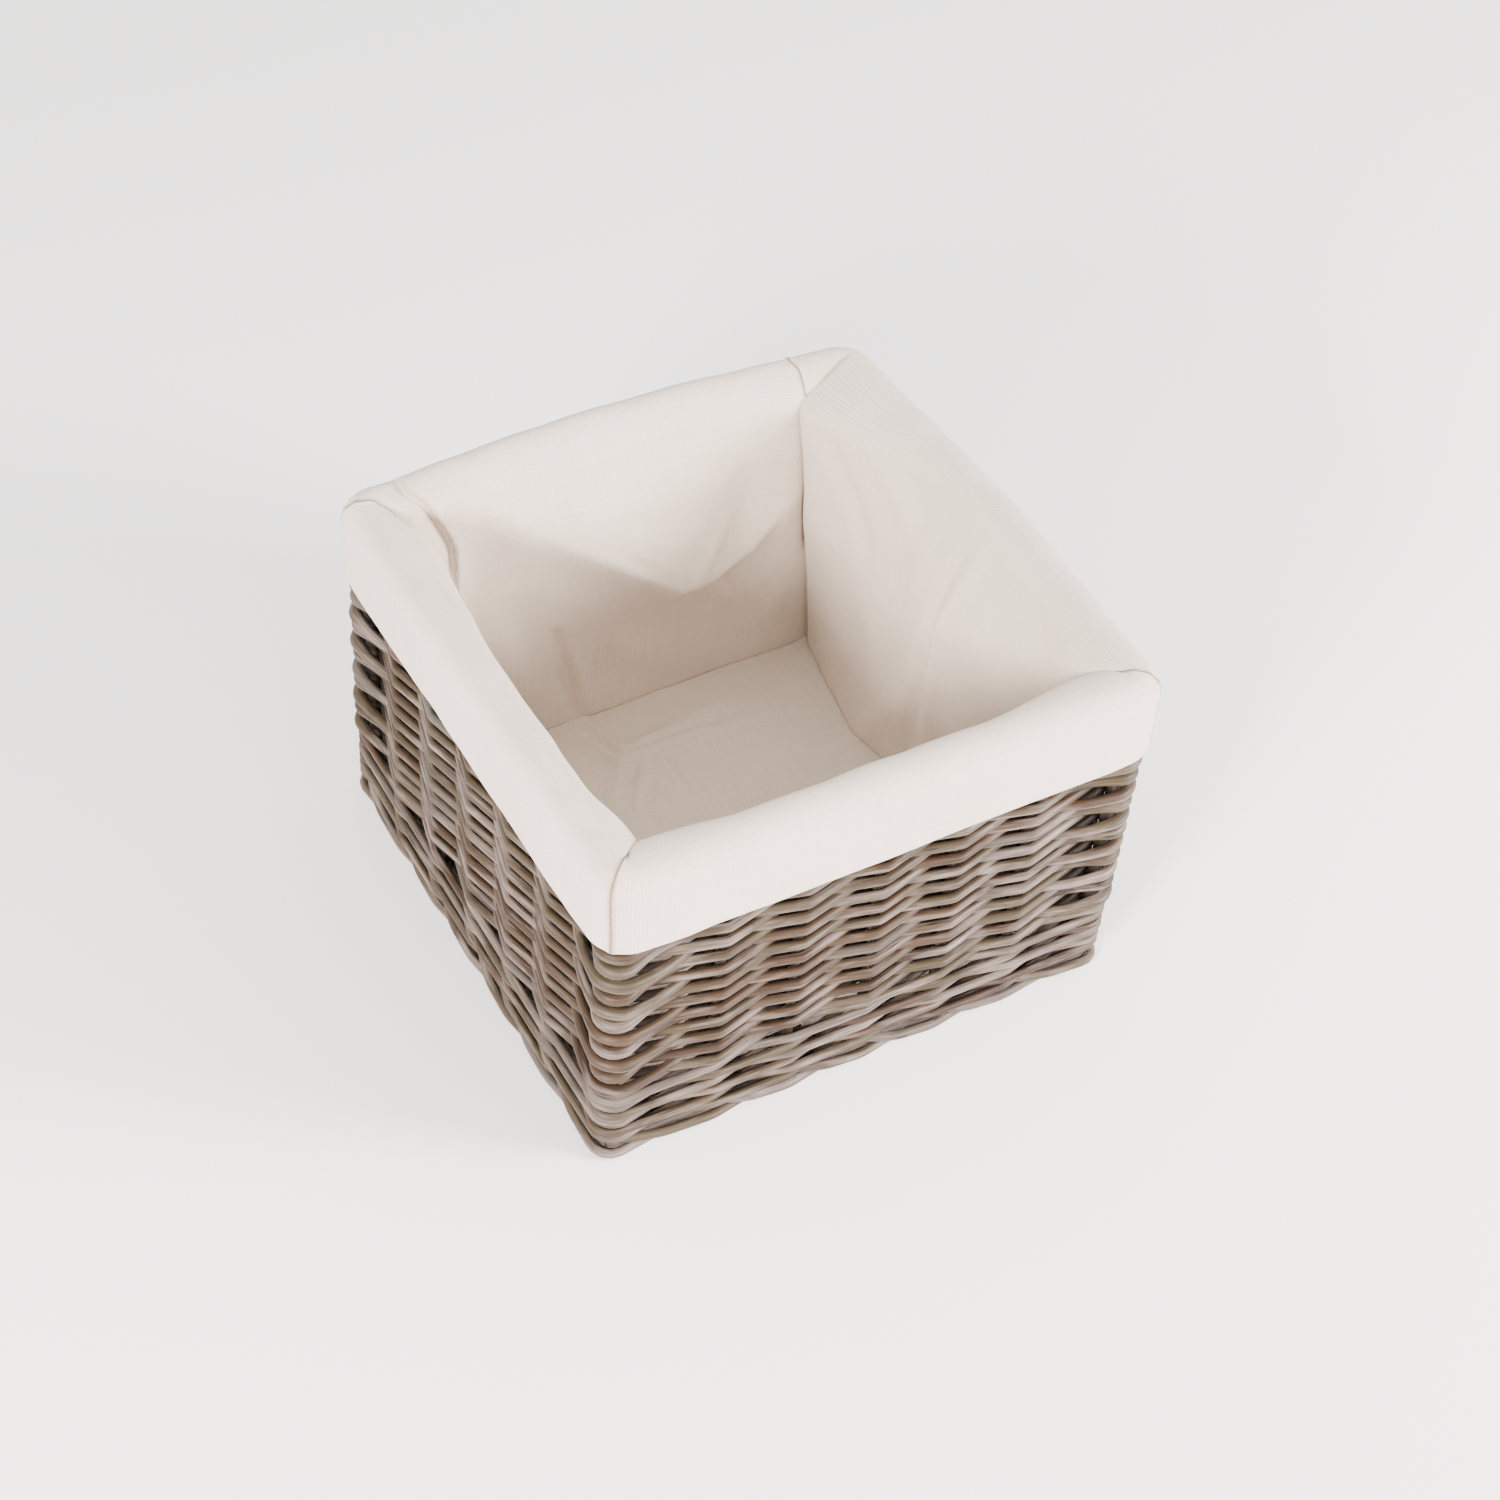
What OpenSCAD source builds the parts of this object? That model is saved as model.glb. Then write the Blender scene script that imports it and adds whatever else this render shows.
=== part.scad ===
// Square willow basket with a removable cotton lining.
// The origin is on the floor under the basket's centre, with +Z up.
// The front is on the -Y side, and all lengths are in millimetres.

/* [Basket] */
// Outside width of the wicker, left to right
basket_width = 350; // [260:1:420]
// Outside depth of the wicker, front to back
basket_depth = 343; // [260:1:420]
// Rows of plain weave between the wale and the top border
weave_rows = 29; // [20:1:32]
// Height of one row, which is the thickness of one rod
row_pitch = 5.65; // [5:0.05:6]
// Rows of thinner rods in the wale above the foot
wale_rows = 9; // [3:3:12]
// Height of one row of the wale
wale_pitch = 4.7; // [3:0.1:5]
// Width of one woven rod, measured through the wall
rod_width = 5.2; // [4:0.1:5.4]

/* [Uprights] */
// Diameter of the stakes between the corners
stake_d = 6.2; // [5:0.1:6.4]
// Distance between one stake and the next
stake_pitch = 50; // [40:1:54]
// Diameter of the corner posts
post_d = 8; // [6:0.1:8]
// Corner radius of the wall, measured on the line of the stakes
corner_r = 13; // [12.5:0.1:20]

/* [Base] */
// Height of the plaited foot border
foot_height = 11; // [8:0.5:14]
// Sticks that cross the base from front to back
base_sticks_count = 7; // [5:2:9]
// Diameter of one base stick
base_stick_d = 4.2; // [3:0.1:4.4]
// Thickness of one rod woven across the base
base_rod = 2.9; // [2.4:0.1:3]

/* [Lining] */
// Thickness of the cotton
cotton = 1.7; // [1:0.1:2]
// Free space between the cotton and the willow
ease = 1.6; // [1:0.1:2]
// Length cut off each side at the lining's corners, clear of the rods behind the posts
corner_cut = 4; // [3:0.5:8]
// Length of the cuff that hangs outside, from the top to its hem
cuff_drop = 54; // [40:1:80]
// Height of the hem along the cuff's lower edge
hem_height = 9; // [6:1:16]
// Extra thickness of the folded hem
hem_extra = 1.6; // [0.5:0.1:3]

/* [Hidden] */

$fn = 48;

// The sides in order, each turned so that its own +Y points outwards.
FRONT = 0;
RIGHT = 1;
BACK = 2;
LEFT = 3;
SIDE_TURN = [180, 270, 0, 90];

// Uprights on each side: a corner post, five stakes, and the next corner post.
SPACES = 6;
PLAIN_WEAVE = 2;
THREE_ROD_WALE = 3;
ARC_STEPS = 4;
HALF_CIRCLE_STEPS = 16;

clearance = 0.3;
upright_gap = 0.5;
// A rod's centre line runs this far outside or inside the line of the stakes.
weave_offset = stake_d / 2 + upright_gap + rod_width / 2;
wall_half = weave_offset + rod_width / 2;
border_r = wall_half;

stake_half = [basket_width / 2 - wall_half, basket_depth / 2 - wall_half];

// A corner post stands just inside the rods that turn the corner round it.
post_gap = rod_width / 2 + clearance + post_d / 2;
post_inset = corner_r - (corner_r + weave_offset - post_gap) * cos(45);
// A rod that passes behind a corner post turns on its own smaller radius.
inner_bend_r = (post_inset + post_gap * cos(45) - weave_offset) / (1 - cos(45)) + 0.5;

wale_z = foot_height;
weave_z = wale_z + wale_rows * wale_pitch;
border_z = weave_z + weave_rows * row_pitch + clearance;
border_mid_z = border_z + border_r;

base_z = 0.6;
base_mid_z = base_z + base_rod + base_stick_d / 2 + 0.1;
base_top_z = 2 * base_mid_z - base_z;
base_rod_pitch = 5;

// The cotton goes over the top border as half a tube of this outer radius.
cotton_outer = border_r + ease + cotton;
top_z = border_mid_z + cotton_outer;
hem_z = top_z - cuff_drop;
floor_z = base_top_z + clearance;

WILLOW = [0.50, 0.43, 0.35];
WILLOW_DARK = [0.42, 0.35, 0.28];
COTTON = [0.92, 0.89, 0.85];
COTTON_DARK = [0.85, 0.81, 0.76];

// Half the length of a side, and how far out it lies, on the line of the stakes.
function side_half(side) = stake_half[side % 2];
function side_out(side) = stake_half[(side + 1) % 2];

function unit(v) = v / norm(v);
function stake_x(i) = (i - SPACES / 2) * stake_pitch;

// In plain weave a rod goes outside every second upright. In the wale it goes
// outside two and inside the third.
function is_outside(row, upright, pattern) = (row + upright) % pattern != 0;

// The centre line of a rod round half a corner, from the middle of the side to the mitre.
function corner_arc(half, outside) =
    let (
        r = outside ? corner_r + weave_offset : inner_bend_r,
        centre = outside
            ? [half - corner_r, -corner_r]
            : [half - weave_offset - inner_bend_r, -weave_offset - inner_bend_r]
    )
    [for (i = [0 : ARC_STEPS])
        let (angle = 90 - 45 * i / ARC_STEPS)
        centre + r * [cos(angle), sin(angle)]];

function mirrored(points) = [for (i = [len(points) - 1 : -1 : 0]) [-points[i][0], points[i][1]]];

// The centre line of one rod along one side, from corner mitre to corner mitre.
function rod_line(half, row, pattern) = concat(
    mirrored(corner_arc(half, is_outside(row, 0, pattern))),
    [for (i = [1 : SPACES - 1])
        [stake_x(i), is_outside(row, i, pattern) ? weave_offset : -weave_offset]],
    corner_arc(half, is_outside(row, SPACES, pattern))
);

// A line moved sideways by d. Its two ends move along the corner mitres.
function moved_line(line, d) =
    [for (i = [0 : len(line) - 1])
        i == 0 ? line[0] + d * unit([-1, 1])
        : i == len(line) - 1 ? line[i] + d * unit([1, 1])
        : let (
            before = unit(line[i] - line[i - 1]),
            after = unit(line[i + 1] - line[i]),
            middle = unit(before + after),
            side = [-middle[1], middle[0]],
            mitre = side * [-before[1], before[0]]
        )
        line[i] + side * d / mitre];

function reversed(points) = [for (i = [len(points) - 1 : -1 : 0]) points[i]];

// Half a circle, from the right over the top to the left.
function half_circle(r) =
    [for (i = [0 : HALF_CIRCLE_STEPS]) let (angle = 180 * i / HALF_CIRCLE_STEPS) r * [cos(angle), sin(angle)]];

// Places a side that is drawn along X with +Y outwards from the line of the stakes.
module on_side(side) {
    rotate([0, 0, SIDE_TURN[side]])
        translate([0, side_out(side), 0])
            children();
}

// One row of woven rod along one side.
module rod_row(half, row, pattern, height) {
    line = rod_line(half, row, pattern);
    linear_extrude(height)
        polygon(concat(moved_line(line, rod_width / 2), reversed(moved_line(line, -rod_width / 2))));
}

module rod_rows(side, z, rows, pattern, pitch) {
    on_side(side)
        for (row = [0 : rows - 1])
            translate([0, 0, z + row * pitch])
                rod_row(side_half(side), row, pattern, pitch);
}

// A profile swept along one side and round half of each corner.
// In the profile, X is the distance outside the line of the stakes and Y is the height.
module swept_side(side) {
    straight = side_half(side) - corner_r;
    on_side(side) {
        translate([-straight, 0, 0])
            rotate([90, 0, 90])
                linear_extrude(2 * straight)
                    children();
        translate([straight, -corner_r, 0])
            rotate([0, 0, 45])
                rotate_extrude(angle = 45)
                    translate([corner_r, 0])
                        children();
        translate([-straight, -corner_r, 0])
            rotate([0, 0, 90])
                rotate_extrude(angle = 45)
                    translate([corner_r, 0])
                        children();
    }
}

module woven_wall(side) {
    color(WILLOW)
        rod_rows(side, weave_z, weave_rows, PLAIN_WEAVE, row_pitch);
}

module bottom_wale(side) {
    color(WILLOW_DARK)
        rod_rows(side, wale_z, wale_rows, THREE_ROD_WALE, wale_pitch);
}

module foot_border(side) {
    r = foot_height / 2;
    edge = [for (p = half_circle(r)) [wall_half - r + p[1], r - p[0]]];
    color(WILLOW_DARK)
        swept_side(side)
            polygon(concat(edge, mirrored(edge)));
}

module top_border(side) {
    color(WILLOW_DARK)
        swept_side(side)
            translate([0, border_mid_z])
                circle(border_r);
}

module corner_post(x_sign, y_sign) {
    color(WILLOW_DARK)
        translate([
            x_sign * (stake_half[0] - post_inset),
            y_sign * (stake_half[1] - post_inset),
            foot_height + clearance
        ])
            cylinder(d = post_d, h = border_z - foot_height - 2 * clearance);
}

module side_stakes(side) {
    color(WILLOW_DARK)
        on_side(side)
            for (i = [1 : SPACES - 1])
                translate([stake_x(i), 0, foot_height + clearance])
                    cylinder(d = stake_d, h = border_z - foot_height - 2 * clearance);
}

base_half = [stake_half[0] - wall_half - upright_gap, stake_half[1] - wall_half - upright_gap];
base_stick_pitch = 2 * base_half[0] / (base_sticks_count + 1);
base_wave = base_stick_d / 2 + 0.1 + base_rod / 2;

module base_sticks() {
    color(WILLOW_DARK)
        for (i = [1 : base_sticks_count])
            translate([i * base_stick_pitch - base_half[0], base_half[1], base_mid_z])
                rotate([90, 0, 0])
                    cylinder(d = base_stick_d, h = 2 * base_half[1]);
}

// A rod across the base goes over one stick and under the next.
function base_line(row) =
    [for (i = [0 : base_sticks_count + 1])
        [i * base_stick_pitch - base_half[0], (row + i) % 2 == 0 ? base_wave : -base_wave]];

module base_weave() {
    rows = floor(2 * base_half[1] / base_rod_pitch);
    color(WILLOW)
        for (row = [0 : rows - 1]) {
            line = base_line(row);
            up = [for (p = line) p + [0, base_rod / 2]];
            down = [for (p = line) p - [0, base_rod / 2]];
            translate([0, (row + 1 - rows / 2) * base_rod_pitch, base_mid_z])
                rotate([90, 0, 0])
                    linear_extrude(base_rod_pitch)
                        polygon(concat(down, reversed(up)));
        }
}

// A rectangle with its corners cut off at 45 degrees.
function cut_rectangle(half, cut) = [
    [half[0], cut - half[1]],
    [half[0], half[1] - cut],
    [half[0] - cut, half[1]],
    [cut - half[0], half[1]],
    [-half[0], half[1] - cut],
    [-half[0], cut - half[1]],
    [cut - half[0], -half[1]],
    [half[0] - cut, -half[1]]
];

// One face of a lining side near a corner: the end of the straight, then the mitre of the cut.
function cut_end(reach, out, cut) = [[reach - cut, out], [reach - cut / 2, out - cut / 2]];

module lining_floor() {
    color(COTTON_DARK)
        translate([0, 0, floor_z])
            linear_extrude(cotton)
                polygon(cut_rectangle([for (half = stake_half) half - border_r - ease], corner_cut));
}

module lining_side(side) {
    reach = side_half(side) - cotton_outer;
    inner = cut_end(reach, -cotton_outer, corner_cut - (2 - sqrt(2)) * cotton);
    outer = cut_end(reach + cotton, cotton - cotton_outer, corner_cut);
    color(COTTON_DARK)
        on_side(side)
            translate([0, 0, floor_z + cotton])
                linear_extrude(border_mid_z - floor_z - cotton)
                    polygon(concat(mirrored(outer), outer, reversed(inner), reversed(mirrored(inner))));
}

module cuff(side) {
    inside = cotton_outer - cotton;
    leg = border_mid_z - hem_z - hem_height;
    profile = concat(
        [[cotton_outer, -leg]],
        half_circle(cotton_outer),
        reversed(half_circle(inside)),
        [[inside, -leg]]
    );
    color(COTTON)
        swept_side(side)
            translate([0, border_mid_z])
                polygon(profile);
}

module cuff_hem(side) {
    color(COTTON)
        swept_side(side)
            translate([cotton_outer - cotton, hem_z])
                square([cotton + hem_extra, hem_height]);
}

woven_wall(FRONT);  // woven_wall_front
woven_wall(RIGHT);  // woven_wall_right
woven_wall(BACK);  // woven_wall_back
woven_wall(LEFT);  // woven_wall_left
bottom_wale(FRONT);  // bottom_wale_front
bottom_wale(RIGHT);  // bottom_wale_right
bottom_wale(BACK);  // bottom_wale_back
bottom_wale(LEFT);  // bottom_wale_left
foot_border(FRONT);  // foot_border_front
foot_border(RIGHT);  // foot_border_right
foot_border(BACK);  // foot_border_back
foot_border(LEFT);  // foot_border_left
top_border(FRONT);  // top_border_front
top_border(RIGHT);  // top_border_right
top_border(BACK);  // top_border_back
top_border(LEFT);  // top_border_left
corner_post(-1, -1);  // corner_post_front_left
corner_post(1, -1);  // corner_post_front_right
corner_post(1, 1);  // corner_post_back_right
corner_post(-1, 1);  // corner_post_back_left
side_stakes(FRONT);  // side_stakes_front
side_stakes(RIGHT);  // side_stakes_right
side_stakes(BACK);  // side_stakes_back
side_stakes(LEFT);  // side_stakes_left
base_sticks();
base_weave();
lining_floor();
lining_side(FRONT);  // lining_side_front
lining_side(RIGHT);  // lining_side_right
lining_side(BACK);  // lining_side_back
lining_side(LEFT);  // lining_side_left
cuff(FRONT);  // cuff_front
cuff(RIGHT);  // cuff_right
cuff(BACK);  // cuff_back
cuff(LEFT);  // cuff_left
cuff_hem(FRONT);  // cuff_hem_front
cuff_hem(RIGHT);  // cuff_hem_right
cuff_hem(BACK);  // cuff_hem_back
cuff_hem(LEFT);  // cuff_hem_left
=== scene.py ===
"""A square willow basket with a removable cotton lining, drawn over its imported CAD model."""
import math

import bpy
import numpy as np
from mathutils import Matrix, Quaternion, Vector


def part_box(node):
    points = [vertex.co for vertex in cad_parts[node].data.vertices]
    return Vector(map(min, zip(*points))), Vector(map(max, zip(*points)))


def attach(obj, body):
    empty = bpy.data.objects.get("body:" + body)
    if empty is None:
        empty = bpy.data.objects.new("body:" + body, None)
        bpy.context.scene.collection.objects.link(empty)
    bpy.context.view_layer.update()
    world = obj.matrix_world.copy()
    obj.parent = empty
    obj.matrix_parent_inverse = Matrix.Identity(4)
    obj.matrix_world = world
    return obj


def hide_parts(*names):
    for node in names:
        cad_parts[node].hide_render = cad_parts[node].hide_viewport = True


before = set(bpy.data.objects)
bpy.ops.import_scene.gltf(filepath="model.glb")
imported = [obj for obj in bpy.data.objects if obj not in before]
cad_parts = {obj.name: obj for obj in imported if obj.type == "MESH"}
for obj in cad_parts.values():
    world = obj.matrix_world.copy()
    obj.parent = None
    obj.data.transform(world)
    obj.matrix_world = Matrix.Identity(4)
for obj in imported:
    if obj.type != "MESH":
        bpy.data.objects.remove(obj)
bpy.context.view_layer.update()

# The sides and corners in order, anticlockwise from above. Corner n is where side n begins.
SIDES = ("front", "right", "back", "left")
CORNERS = ("front_left", "front_right", "back_right", "back_left")
FRONT, RIGHT, BACK, LEFT = range(4)
FRONT_LEFT, FRONT_RIGHT, BACK_RIGHT, BACK_LEFT = range(4)
ALONG = np.array([(1, 0), (0, 1), (-1, 0), (0, -1)], float)
OUTWARD = np.array([(0, -1), (1, 0), (0, 1), (-1, 0)], float)

# ---- Sizes that come from the frame -------------------------------------------------------------


def middle(node):
    low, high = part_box(node)
    return (low + high) / 2


def size(node):
    low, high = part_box(node)
    return high - low


STAKES = 5
SPACES = STAKES + 1
STAKE_R = size("side_stakes_right").x / 2
STAKE_PITCH = (size("side_stakes_front").x - 2 * STAKE_R) / (STAKES - 1)
POST_R = size("corner_post_back_right").x / 2
STAKE_LINE = (middle("side_stakes_right").x, middle("side_stakes_back").y)
# Half the length of each side, and how far out it lies, on the line of the stakes.
HALF = np.array([STAKE_LINE[0], STAKE_LINE[1]] * 2)
DISTANCE = HALF[[1, 0, 3, 2]]
START = np.concatenate([[0], np.cumsum(2 * HALF)])
RING = START[4]

FOOT_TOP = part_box("foot_border_front")[1].z
WALE_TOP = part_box("bottom_wale_front")[1].z
WEAVE_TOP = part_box("woven_wall_front")[1].z
BORDER_MIDDLE = middle("top_border_front").z
BORDER_R = size("top_border_front").z / 2
HEM_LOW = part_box("cuff_hem_front")[0].z
HEM_HEIGHT = size("cuff_hem_front").z
COTTON_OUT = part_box("cuff_right")[1].x - STAKE_LINE[0]
COTTON_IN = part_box("lining_side_left")[1].x + STAKE_LINE[0]
FLOOR_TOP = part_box("lining_floor")[1].z

# ---- Sizes of the willow ------------------------------------------------------------------------

WEAVE_ROWS = 29
WALE_ROWS = 9
PLAIN_WEAVE = 2
THREE_ROD_WALE = 3
CORNER_R = 0.0068
ROD_R = 0.00284
WALE_ROD_R = 0.00245
# How softly a rod bends, how far apart its rings stand, and how finely its line is worked out.
KNEE = 0.0020
STEP = 0.0022
FINE_STEP = 0.0005
GAP = 0.0003

# ---- The line round the basket ------------------------------------------------------------------


def ring_point(place, out, z, corner_r=CORNER_R, tightest=0.001):
    """Points at a place along the stake line round the basket, out from it, and z up.

    corner_r is the stake line's own radius at a corner, and tightest is the smallest radius that
    the inside of a corner turns on.
    """
    place, out, z = np.broadcast_arrays(np.mod(place, RING), out, z)
    side = np.clip(np.searchsorted(START, place, side="right") - 1, 0, 3)
    half = HALF[side]
    along = place - START[side] - half
    bend = np.maximum(corner_r + out, tightest)
    angle = np.clip((np.abs(along) - half + corner_r) / corner_r, 0, 1) * math.pi / 4
    straight = np.clip(along / (half - corner_r), -1, 1) * (half + out - bend)
    reach = straight + np.sign(along) * bend * np.sin(angle)
    away = DISTANCE[side] + out - bend * (1 - np.cos(angle))
    flat = reach[..., None] * ALONG[side] + away[..., None] * OUTWARD[side]
    return np.concatenate([flat, z[..., None]], -1)


def upright_place(upright):
    """Where an upright stands along the ring. Uprights 0, 6, 12 and 18 are the corner posts."""
    rounds, upright = divmod(upright, 4 * SPACES)
    side, step = divmod(upright, SPACES)
    place = START[side]
    if step:
        place += HALF[side] + (step - SPACES / 2) * STAKE_PITCH
    return rounds * RING + place


def corner_distance(place, corner):
    """How far each place is past a corner: below zero before it, above zero after it."""
    return np.mod(place - START[corner] + RING / 2, RING) - RING / 2


# ---- Small tools --------------------------------------------------------------------------------


def soft_step(values, low, high):
    part = np.clip((values - low) / (high - low), 0, 1)
    return part * part * (3 - 2 * part)


def hill(values, centre, width):
    """1 at the centre, falling softly to 0 at width on either side."""
    return 1 - soft_step(np.abs(values - centre), 0, width)


def smoothed(at, points, window):
    """Columns 1 and 2 of a line of points, read at places along column 0 and rounded."""
    pad = len(window) // 2
    read = (np.interp(at, points[:, 0], points[:, column]) for column in (1, 2))
    return (np.convolve(np.pad(values, pad, "edge"), window, "valid") for values in read)


def line_noise(seed, positions, wavelength):
    """Repeatable noise from -1 to 1 along a line."""
    table = np.random.default_rng(seed).uniform(-1, 1, 1024)
    place = np.asarray(positions) / wavelength + 100
    whole = np.floor(place).astype(int)
    part = soft_step(place - whole, 0, 1)
    return table[whole % 1024] * (1 - part) + table[(whole + 1) % 1024] * part


def cloth_noise(seed, place, height, long_wave, high_wave):
    """Repeatable noise from -1 to 1 over the lining, the same where the ring closes."""
    columns = max(4, round(RING / long_wave))
    table = np.random.default_rng(seed).uniform(-1, 1, (columns, 64))
    x = np.mod(place, RING) / RING * columns
    y = height / high_wave + 8
    i, j = np.floor(x).astype(int), np.floor(y).astype(int)
    p, q = soft_step(x - i, 0, 1), soft_step(y - j, 0, 1)
    i, j = i % columns, j % 64
    i2, j2 = (i + 1) % columns, (j + 1) % 64
    low = table[i, j] * (1 - p) + table[i2, j] * p
    high = table[i, j2] * (1 - p) + table[i2, j2] * p
    return low * (1 - q) + high * q


def new_piece(name, body, verts, faces, attributes, material):
    mesh = bpy.data.meshes.new(name)
    mesh.from_pydata(np.asarray(verts).tolist(), [], faces)
    for key, values in attributes.items():
        values = np.asarray(values, np.float32)
        single = values.ndim == 1
        layer = mesh.attributes.new(key, "FLOAT" if single else "FLOAT_VECTOR", "POINT")
        layer.data.foreach_set("value" if single else "vector", values.ravel())
    mesh.polygons.foreach_set("use_smooth", [True] * len(mesh.polygons))
    mesh.materials.append(material)
    mesh.update()
    piece = bpy.data.objects.new(name, mesh)
    bpy.context.scene.collection.objects.link(piece)
    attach(piece, body)
    return piece


class Rods:
    """Round rods gathered into one mesh, with the values that the willow material reads."""

    def __init__(self, sides=12):
        self.sides = sides
        self.verts, self.faces, self.grain, self.tint, self.shade = [], [], [], [], []
        self.count = 0

    def add(self, line, radius, seed, shade=0.0, tint=None):
        """Adds one rod. tint goes from 0 to 1, and shade is painted shade, 1 where the rod lies in the dark.
        """
        line = np.asarray(line, float)
        n, m = len(line), self.sides
        random = np.random.default_rng(seed)
        tint = random.uniform() if tint is None else tint
        offset = random.uniform(0, 50, 3)
        tangent = np.gradient(line, axis=0)
        tangent /= np.linalg.norm(tangent, axis=1)[:, None]
        up = np.array([0.0, 0.0, 1.0] if abs(tangent[0, 2]) < 0.9 else [1.0, 0.0, 0.0])
        across = np.cross(tangent, up)
        across /= np.linalg.norm(across, axis=1)[:, None]
        over = np.cross(across, tangent)
        angles = np.linspace(0, 2 * math.pi, m, endpoint=False)
        cosine, sine = np.cos(angles)[None, :, None], np.sin(angles)[None, :, None]
        radius = np.broadcast_to(np.asarray(radius, float), n)
        points = line[:, None, :] + (across[:, None] * cosine + over[:, None] * sine) * radius[:, None, None]
        length = np.concatenate([[0], np.cumsum(np.linalg.norm(np.diff(line, axis=0), axis=1))])
        grain = np.stack(np.broadcast_arrays(
            length[:, None] + offset[0],
            cosine[..., 0] * ROD_R + offset[1],
            sine[..., 0] * ROD_R + offset[2],
        ), -1)
        i, j = np.meshgrid(np.arange(n - 1), np.arange(m), indexing="ij")
        a = self.count + i * m + j
        b = self.count + i * m + (j + 1) % m
        self.faces += np.stack([a, b, b + m, a + m], -1).reshape(-1, 4).tolist()
        self.faces.append(list(range(self.count + m - 1, self.count - 1, -1)))
        self.faces.append(list(range(self.count + (n - 1) * m, self.count + n * m)))
        self.verts.append(points.reshape(-1, 3))
        self.grain.append(grain.reshape(-1, 3))
        self.tint.append(np.full(n * m, tint))
        self.shade.append(np.repeat(np.broadcast_to(np.asarray(shade, float), n), m))
        self.count += n * m

    def piece(self, name, slot, material, *nodes):
        attributes = {
            "grain": np.concatenate(self.grain),
            "tint": np.concatenate(self.tint),
            "shade": np.concatenate(self.shade),
        }
        made = new_piece(name, "basket", np.concatenate(self.verts), self.faces, attributes, material)
        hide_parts(*nodes)


# ---- Materials ----------------------------------------------------------------------------------


def empty_material(name):
    material = bpy.data.materials.new(name)
    material.use_nodes = True
    tree = material.node_tree
    shader = next(n for n in tree.nodes if n.type == "BSDF_PRINCIPLED")
    return material, tree.nodes, tree.links, shader


def noise_node(nodes, links, vector, scale, detail, roughness=0.6):
    node = nodes.new("ShaderNodeTexNoise")
    node.inputs["Scale"].default_value = scale
    node.inputs["Detail"].default_value = detail
    node.inputs["Roughness"].default_value = roughness
    links.new(vector, node.inputs["Vector"])
    return node.outputs["Fac"]


def stretched(nodes, links, vector, scale):
    node = nodes.new("ShaderNodeMapping")
    node.inputs["Scale"].default_value = scale
    links.new(vector, node.inputs["Vector"])
    return node.outputs["Vector"]


def ramp_node(nodes, links, value, stops):
    node = nodes.new("ShaderNodeValToRGB")
    while len(node.color_ramp.elements) < len(stops):
        node.color_ramp.elements.new(0.5)
    for element, (place, colour) in zip(node.color_ramp.elements, stops):
        element.position = place
        element.color = (*colour, 1)
    links.new(value, node.inputs["Fac"])
    return node.outputs["Color"]


def grey(value):
    return (value, value, value)


def mixed(nodes, links, kind, amount, a, b):
    """Mixes colours a and b. Each of amount, a and b is a value or a socket."""
    node = nodes.new("ShaderNodeMix")
    node.data_type = "RGBA"
    node.blend_type = kind
    for socket, value in ((node.inputs["Factor"], amount), (node.inputs[6], a), (node.inputs[7], b)):
        if isinstance(value, tuple):
            socket.default_value = (*value, 1)
        elif isinstance(value, float):
            socket.default_value = value
        else:
            links.new(value, socket)
    return node.outputs[2]


def bump_node(nodes, links, height, distance, strength, normal=None):
    node = nodes.new("ShaderNodeBump")
    node.inputs["Strength"].default_value = strength
    node.inputs["Distance"].default_value = distance
    links.new(height, node.inputs["Height"])
    if normal is not None:
        links.new(normal, node.inputs["Normal"])
    return node.outputs["Normal"]


def attribute(nodes, name, output="Fac"):
    node = nodes.new("ShaderNodeAttribute")
    node.attribute_name = name
    return node.outputs[output]


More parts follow.
